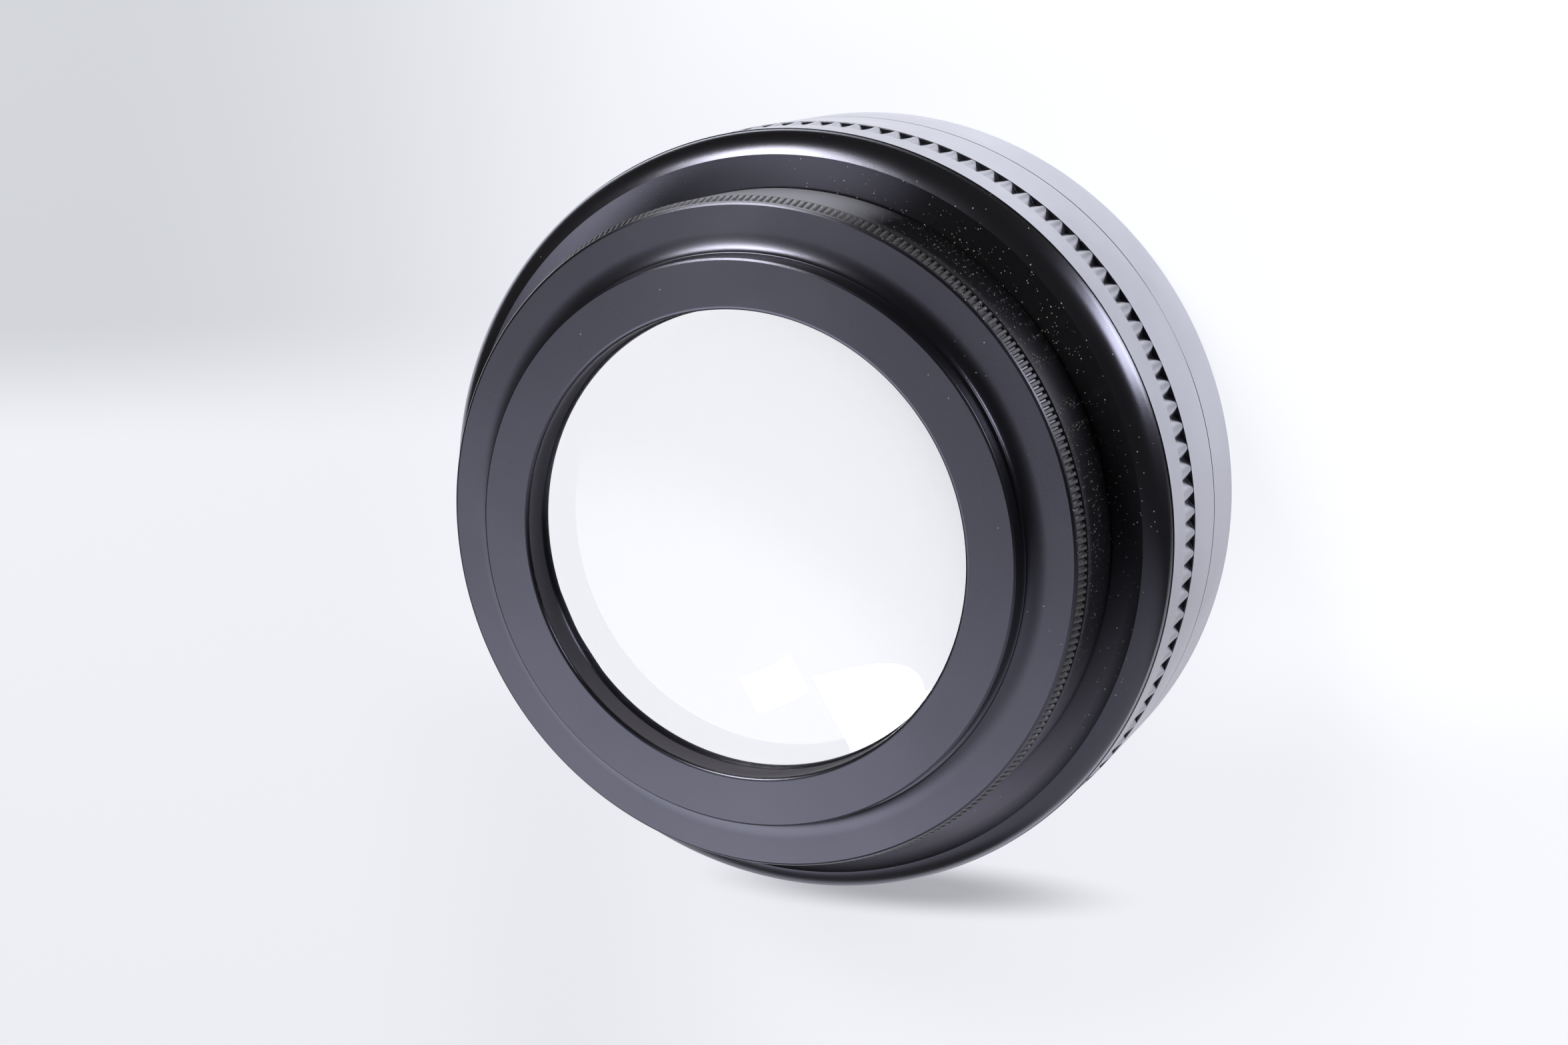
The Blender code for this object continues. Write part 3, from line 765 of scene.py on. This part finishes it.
def grip_ring_outline():
    """Outline of the grip ring; the teeth are pressed into its last loops."""
    back_edge, front_edge = (GRIP_RADIUS, GRIP_BACK), (GRIP_RADIUS, GRIP_FRONT)
    outline = soft_corner(back_edge, (RING_BORE, GRIP_BACK), front_edge, 0.06 * MM)
    outline += [(GRIP_RADIUS, TEETH_BACK - HOLD), (GRIP_RADIUS, TEETH_BACK)]
    outline += [(GRIP_RADIUS, TEETH_BACK + HOLD), (BARREL_RADIUS, GRIP_FRONT - TIP_CHAMFER)]
    outline += [(BARREL_RADIUS - TIP_CHAMFER, GRIP_FRONT)]
    outline += [(RING_BORE, GRIP_FRONT), (RING_BORE, GRIP_BACK)]
    return outline


def groove_depth(column, width):
    """Depth of the V at a column, when the groove takes this share of the pitch."""
    across = abs(column - TOOTH_COLUMNS / 2) / (TOOTH_COLUMNS / 2)
    inside = (1 - across) / width
    slope = TOOTH_DEPTH * width / GROOVE_END
    return max(0.0, slope * (1 - inside)) if inside < 1 else 0.0


grip_ring = turn("grip_ring_turned", grip_ring_outline(), TOOTH_COUNT * TOOTH_COLUMNS)
TOOTH_LOOPS = (
    (TEETH_BACK + HOLD, GROOVE_START),
    (GRIP_FRONT - TIP_CHAMFER, GROOVE_END),
    (GRIP_FRONT, GROOVE_END),
)
for loop_depth, width in TOOTH_LOOPS:
    for column in range(TOOTH_COLUMNS):
        cut = groove_depth(column, width)
        if cut:
            share = 1 - cut / BARREL_RADIUS
            near_loop = (loop_depth - LOOP_REACH, loop_depth + LOOP_REACH)
            press_columns(
                grip_ring, TOOTH_COLUMNS, TOOTH_COUNT, (column,), near_loop, GRIP_CORE, share)
finish_piece(grip_ring, satin_band, "grip_ring", angle=20)

# %% [markdown]
# The name ring and the front rim are plain bands with a thin gap between them. Their edges are
# broken by a small round, which is what draws the thin bright lines along them.

# %% Turn the name ring and the front rim


def name_ring_outline():
    """Outline of the wide plain band."""
    back, front = node_back("name_ring"), node_front("name_ring") + FIT / 2 - SEAM / 2
    corners = [(BARREL_RADIUS, back), (BARREL_RADIUS, front), (RING_BORE, front), (RING_BORE, back)]
    return soften(corners, (0.1 * MM, 0.08 * MM, 0, 0))


def front_rim_outline():
    """Outline of the front rim, with the filter recess and its rib."""
    back, front = node_back("front_rim") - FIT / 2 + SEAM / 2, node_front("front_rim")
    rib_back = node_front("main_barrel") + FIT
    rib_front = rib_back + 0.6 * MM
    rib_radius = RING_BORE - 1.05 * MM
    corners = [
        (BARREL_RADIUS, back),
        (BARREL_RADIUS, front),
        (RING_BORE + 0.05 * MM, front),
        (RING_BORE, rib_front),
        (rib_radius, rib_front),
        (rib_radius, rib_back),
        (RING_BORE, rib_back),
        (RING_BORE, back),
    ]
    return soften(corners, (0.08 * MM, 0.45 * MM, 0.3 * MM, 0, 0.1 * MM, 0, 0, 0))


name_ring = turn("name_ring_turned", name_ring_outline(), RING_SEGMENTS)
finish_piece(name_ring, satin_band, "name_ring")
front_rim = turn("front_rim_turned", front_rim_outline(), RING_SEGMENTS)
finish_piece(front_rim, satin_band, "front_rim")

# %% [markdown]
# The glass elements bulge as parts of spheres. Each surface is a row of circles whose depths come
# from the sphere's formula, with many loops, because light bends at every facet.

# %% Turn the glass elements
GLASS_LOOPS = 28
GLASS_SEGMENTS = 192
POLE_RADIUS = 0.25 * MM


def cap_height(aperture, bulge, radius):
    """Height of a spherical cap above its rim at a radius."""
    curve = (aperture ** 2 + bulge ** 2) / (2 * bulge)
    return math.sqrt(curve ** 2 - radius ** 2) - (curve - bulge)


def cap(aperture, bulge, rim_depth, direction):
    """Outline of a spherical surface from near the axis to its rim."""
    points = []
    for loop in range(GLASS_LOOPS + 1):
        radius = POLE_RADIUS + (aperture - POLE_RADIUS) * loop / GLASS_LOOPS
        points.append((radius, rim_depth + direction * cap_height(aperture, bulge, radius)))
    return points


REAR_BULGE = 1.6 * MM
REAR_FRONT_BULGE = 6.3 * MM
REAR_FRONT_APERTURE = GLASS_RADIUS - 0.9 * MM
rear_edge = node_back("rear_element") + REAR_BULGE
rear_front_edge = node_front("rear_element") - REAR_FRONT_BULGE
rear_outline = cap(LIP_RADIUS, REAR_BULGE, rear_edge, -1)
rear_outline += [(GLASS_RADIUS, rear_edge), (GLASS_RADIUS, rear_front_edge)]
rear_outline += cap(REAR_FRONT_APERTURE, REAR_FRONT_BULGE, rear_front_edge, 1)[::-1]
rear_element = turn("rear_element_ground", rear_outline, GLASS_SEGMENTS, cored=False)
finish_piece(rear_element, coated_glass, "rear_element", angle=20)

HOLLOW_RADIUS = FRONT_GLASS_RADIUS - 3.3 * MM
HOLLOW_DEPTH = 13.1 * MM
FRONT_BULGE = 5.4 * MM
front_back = node_back("front_element")
front_edge = node_front("front_element") - FRONT_BULGE
front_outline = cap(HOLLOW_RADIUS, HOLLOW_DEPTH, front_back, 1)
front_outline += [(FRONT_GLASS_RADIUS, front_back)]
front_outline += cap(FRONT_GLASS_RADIUS, FRONT_BULGE, front_edge, 1)[::-1]
front_element = turn("front_element_ground", front_outline, GLASS_SEGMENTS, cored=False)
finish_piece(front_element, coated_glass, "front_element", angle=20)

# %% [markdown]
# The trim ring inside the front rim is a cone with fine steps, which keep stray light down.

# %% Turn the front trim ring
TRIM_STEPS = 9
TRIM_THICKNESS = 0.8 * MM
TRIM_LAND = 1.2 * MM
TRIM_LIP = 0.4 * MM
TRIM_OVERLAP = 1.6 * MM


def trim_ring_outline():
    """Outline of the trim ring, with a stepped cone towards the glass."""
    outer, inner = node_radius("front_trim_ring"), FRONT_GLASS_RADIUS - TRIM_OVERLAP
    face, foot = node_front("front_trim_ring"), node_back("front_trim_ring")
    back = face - TRIM_THICKNESS
    outline = soft_corner((outer, face), (outer, back), (inner, face), 0.15 * MM)
    start, end = (outer - TRIM_LAND, face), (inner, foot + TRIM_LIP)
    run, fall = end[0] - start[0], end[1] - start[1]
    for step in range(TRIM_STEPS):
        share, next_share = step / TRIM_STEPS, (step + 1) / TRIM_STEPS
        radius = start[0] + run * share
        outline += [(radius, start[1] + fall * share), (radius, start[1] + fall * next_share)]
    outline += [end, (inner, foot), (FRONT_GLASS_RADIUS, foot)]
    outline += [(FRONT_GLASS_RADIUS, back), (outer, back)]
    return outline


front_trim = turn("front_trim_turned", trim_ring_outline(), RING_SEGMENTS)
finish_piece(front_trim, satin_black, "front_trim_ring", angle=20)

# %% [markdown]
# The rings and cushions inside already have the right shape, so they only get their finishes.

# %% Finish the inner rings
INNER_FINISHES = {
    "rear_cushion": seal_rubber,
    "front_cushion": seal_rubber,
    "light_baffle": baffle_paint,
    "front_retaining_ring": baffle_paint,
}
for node, material in INNER_FINISHES.items():
    inner_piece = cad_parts[node]
    inner_piece.data.materials.clear()
    inner_piece.data.materials.append(material)
    print(node, "is finished with", material.name)

# %% [markdown]
# The camera stands where the photograph was taken. A fit to the circles of the lens gave the tilt
# of its axis in the picture, the focal length and the place of the rear face. The lens is turned
# about its axis so that the camera's forward direction has no sideways part.

# %% Set the camera
FOCAL_LENGTH = 56.17
SENSOR_WIDTH = 36.0
CLIP_START = 0.01
AXIS_YAW = math.radians(23.95)
AXIS_PITCH = math.radians(12.05)
REAR_FACE_IN_CAMERA = Vector((-4.582, -2.596, 243.738)) * MM

axis_in_camera = Vector((
    math.sin(AXIS_YAW) * math.cos(AXIS_PITCH),
    math.sin(AXIS_PITCH),
    math.cos(AXIS_YAW) * math.cos(AXIS_PITCH)))
descent = math.asin(axis_in_camera.z)
level = Vector((1, 0, 0))
forward = Vector((0, math.cos(descent), -math.sin(descent)))
above = level.cross(forward)
roll_cos = -axis_in_camera.y / math.cos(descent)
roll_sin = -axis_in_camera.x / math.cos(descent)
image_right = level * roll_cos + above * roll_sin
image_up = above * roll_cos - level * roll_sin


def from_camera(right, upward, ahead):
    """A direction given in the photograph's terms, turned into the frame's axes."""
    return image_right * right + image_up * upward + forward * ahead


bpy.ops.object.camera_add()
camera = bpy.context.object
camera.name = "camera"
camera.data.lens = FOCAL_LENGTH
camera.data.sensor_width = SENSOR_WIDTH
camera.data.clip_start = CLIP_START
rear_face = Vector((0, 0, LENS_LENGTH))
turned_axes = Matrix((image_right, image_up, -forward)).transposed()
camera_place = Matrix.Translation(rear_face - from_camera(*REAR_FACE_IN_CAMERA))
camera.matrix_world = camera_place @ turned_axes.to_4x4()
bpy.context.scene.camera = camera
print("camera at", tuple(camera.location), "looks along", tuple(forward))

# %% [markdown]
# The lens stands on a pale floor. The camera and the glass see it glow, so that it reads as white,
# and the lamp still lays the shadow of the lens on it. The glow is a little weaker at the left, at
# the far left and near the camera, and in a soft spot low in the picture, which stands for the
# shade at the foot of the lens. The metal doesn't mirror the floor but the room drawn below.

# %% Lay the floor
FLOOR_SIZE = 6.0
FLOOR_COLOUR = (0.25, 0.26, 0.27, 1)
FLOOR_GLOW = (0.965, 0.975, 1.02, 1)
GLOW_FROM_LEFT = (-70 * MM, 30 * MM, 0.70, 0.90)
GLOW_THROUGH_GLASS = 1.05
FAR_PART = (4 * MM, 22 * MM, 0, 1)
FAR_LEFT_SHADE = (0, -100 * MM, 0, 0.24)
NEAR_PART = (-15 * MM, -35 * MM, 0, 1)
NEAR_SHADE = (-70 * MM, -30 * MM, 0, 0.10)
FOOT_PLACE = (4 * MM, -48.3 * MM)
FOOT_REACH = (27 * MM, 4 * MM)
FOOT_SHADE = (1.0, 0.2, 0, 0.44)


def seen_along(tree, source, direction):
    """How far a place or a ray lies along a direction given in the photograph's terms."""
    return along(tree, source, from_camera(*direction))


def foot_shade(tree, right, upward):
    """A soft spot that is an ellipse in the picture."""
    away = 0.0
    for source, middle, reach in zip((right, upward), FOOT_PLACE, FOOT_REACH):
        out = calculate(tree, "DIVIDE", calculate(tree, "SUBTRACT", source, middle), reach)
        away = calculate(tree, "ADD", multiply(tree, out, out), away)
    return fade(tree, calculate(tree, "SQRT", away), *FOOT_SHADE)


def floor_material():
    """Pale matt floor that glows to the camera and through the glass."""
    material, tree, shader = new_material("pale_floor")
    shader.inputs["Base Color"].default_value = FLOOR_COLOUR
    shader.inputs["Roughness"].default_value = 0.9
    shader.inputs["Specular IOR Level"].default_value = 0.0
    place = tree.nodes.new("ShaderNodeTexCoord").outputs["Object"]
    right, upward = seen_along(tree, place, (1, 0, 0)), seen_along(tree, place, (0, 1, 0))
    glow = fade(tree, right, *GLOW_FROM_LEFT)
    far_left = multiply(tree, fade(tree, upward, *FAR_PART), fade(tree, right, *FAR_LEFT_SHADE))
    near = multiply(tree, fade(tree, upward, *NEAR_PART), fade(tree, right, *NEAR_SHADE))
    for shade in (far_left, near, foot_shade(tree, right, upward)):
        glow = calculate(tree, "SUBTRACT", glow, shade)
    paths = tree.nodes.new("ShaderNodeLightPath").outputs
    seen = multiply(tree, paths["Is Camera Ray"], glow)
    through = multiply(tree, paths["Is Transmission Ray"], GLOW_THROUGH_GLASS)
    shader.inputs["Emission Color"].default_value = FLOOR_GLOW
    tree.links.new(calculate(tree, "MAXIMUM", seen, through), shader.inputs["Emission Strength"])
    return material


deselect_all()
bpy.ops.mesh.primitive_plane_add(size=FLOOR_SIZE, location=(0, 0, 0))
floor = bpy.context.object
floor.name = "floor"
floor.data.materials.append(floor_material())
floor.visible_glossy = False
floor.visible_shadow = False
print("floor", FLOOR_SIZE, "m wide")

# %% [markdown]
# A square softbox stands above the lens in the picture and lights its upper curves. It is an area
# lamp, because its reflection on the satin metal has a size and a soft edge. The camera doesn't
# see it.

# %% Set the lamp
SOFTBOX_TOWARDS = (-0.618, 0.490, -0.565)
SOFTBOX_DISTANCE = 0.6
SOFTBOX_SIZE = 0.205
SOFTBOX_POWER = 2.2


def soft_lamp(name, direction, distance, size, power):
    """A square lamp that faces the middle of the lens."""
    light = bpy.data.lights.new(name, "AREA")
    light.size = size
    light.energy = power
    lamp = bpy.data.objects.new(name, light)
    bpy.context.scene.collection.objects.link(lamp)
    middle = Vector((0, 0, LENS_LENGTH / 2))
    lamp.location = middle + direction.normalized() * distance
    lamp.rotation_mode = "QUATERNION"
    lamp.rotation_quaternion = direction.to_track_quat("Z", "Y")
    lamp.visible_camera = False
    print(name, "at", tuple(round(value, 3) for value in lamp.location))


soft_lamp("softbox", from_camera(*SOFTBOX_TOWARDS), SOFTBOX_DISTANCE, SOFTBOX_SIZE, SOFTBOX_POWER)

# %% [markdown]
# What makes black metal readable is the room that it mirrors. The room could be built of panels,
# but here the world draws it by direction, in the photograph's own terms: how far to the right,
# how far up and how far ahead a ray goes. Ahead is a white wall, below a soft light with a shaded
# part, low on the left a bright light, and far on the right a narrow window. The rest is dark,
# which keeps the round shoulder black.

# %% Draw the room
ROOM_COLOUR = (0.955, 0.97, 1.06, 1)
WALL_TOWARDS = (0, -0.15, 0.99)
WALL_EDGE = (0.55, 0.63, 0, 1)
WALL_UPWARD = (-0.15, 0.43, 0.92, 2.25)
WALL_SIDEWAYS = (0.0, 0.5, 0.75, 1.28)
LOW_LIGHT = (-0.32, -0.68, 0, 0.5)
LOW_SHADE_TOWARDS = (-0.12, -0.92, 0.37)
LOW_SHADE = (0.82, 0.94, 1, 0.1)
LEFT_LIGHT_TOWARDS = (-0.72, -0.62, -0.30)
LEFT_LIGHT = (0.88, 0.955, 0, 1.75)
WINDOW_TOWARDS = (0.888, 0.4465, -0.1045)
WINDOW_ACROSS = (-0.449, 0.893, 0)
WINDOW_OFFSET = 0.03
WINDOW_STRIP = (0.19, 0.10, 0, 8)
WINDOW_EDGE = (0.80, 0.90, 0, 1)
DARK_CORNERS = 0.02
CAMERA_WHITE = 2.0


def wall_light(tree, ray):
    """The white wall ahead, brighter upwards and to the right."""
    rise = ramp(tree, seen_along(tree, ray, (0, 1, 0)), *WALL_UPWARD)
    turn_right = ramp(tree, seen_along(tree, ray, (1, 0, 0)), *WALL_SIDEWAYS)
    edge = fade(tree, seen_along(tree, ray, WALL_TOWARDS), *WALL_EDGE)
    return multiply(tree, multiply(tree, rise, turn_right), edge)


def low_light(tree, ray):
    """Soft light from below, with a shaded part."""
    light = fade(tree, seen_along(tree, ray, (0, 1, 0)), *LOW_LIGHT)
    shaded = fade(tree, seen_along(tree, ray, LOW_SHADE_TOWARDS), *LOW_SHADE)
    return multiply(tree, light, shaded)


def window_light(tree, ray):
    """The window, a narrow strip inside a round field."""
    offset = calculate(tree, "SUBTRACT", seen_along(tree, ray, WINDOW_ACROSS), WINDOW_OFFSET)
    strip = fade(tree, calculate(tree, "ABSOLUTE", offset), *WINDOW_STRIP)
    field = fade(tree, seen_along(tree, ray, WINDOW_TOWARDS), *WINDOW_EDGE)
    return multiply(tree, strip, field)


def room_world():
    """The room by direction, with none of it through the glass, and white for the camera."""
    world = bpy.data.worlds.new("room")
    world.use_nodes = True
    tree = world.node_tree
    ray = tree.nodes.new("ShaderNodeTexCoord").outputs["Generated"]
    left_light = fade(tree, seen_along(tree, ray, LEFT_LIGHT_TOWARDS), *LEFT_LIGHT)
    light = calculate(tree, "MAXIMUM", wall_light(tree, ray), low_light(tree, ray))
    for more in (left_light, window_light(tree, ray), DARK_CORNERS):
        light = calculate(tree, "ADD", light, more)
    paths = tree.nodes.new("ShaderNodeLightPath").outputs
    light = multiply(tree, light, calculate(tree, "SUBTRACT", 1.0, paths["Is Transmission Ray"]))
    white = multiply(tree, paths["Is Camera Ray"], CAMERA_WHITE)
    background = tree.nodes["Background"]
    background.inputs["Color"].default_value = ROOM_COLOUR
    tree.links.new(calculate(tree, "ADD", light, white), background.inputs["Strength"])
    bpy.context.scene.world = world
    return world


room = room_world()
bpy.context.scene.view_settings.view_transform = "Standard"
print("world", room.name)
